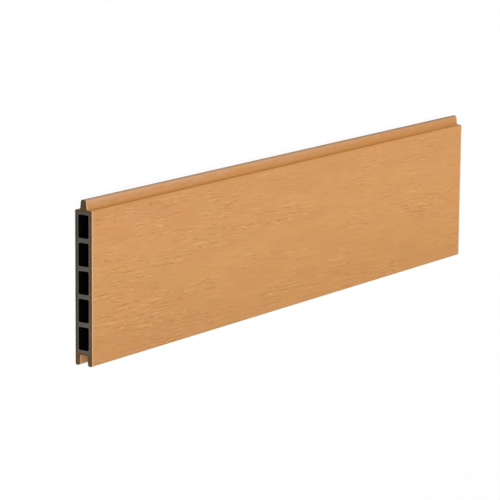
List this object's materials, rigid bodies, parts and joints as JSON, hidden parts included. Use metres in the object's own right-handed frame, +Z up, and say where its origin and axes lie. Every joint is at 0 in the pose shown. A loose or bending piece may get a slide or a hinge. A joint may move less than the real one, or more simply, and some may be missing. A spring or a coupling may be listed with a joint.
{
  "type": "composite fence board",
  "caption": "Hollow extruded composite board with a tongue along one edge, a matching groove along the other and a row of cells between.",
  "frame": {"origin": "on the floor under the middle of the board, which lies flat on its back face", "axes": "+X along the board, +Y across it from the groove to the tongue, +Z up through its thickness, out of the shown face"},
  "size_m": [0.68, 0.161, 0.02],
  "materials": {
    "wood_composite": "matte"
  },
  "bodies": {
    "root": {"fence_board": "wood_composite"}
  },
  "joints": []
}
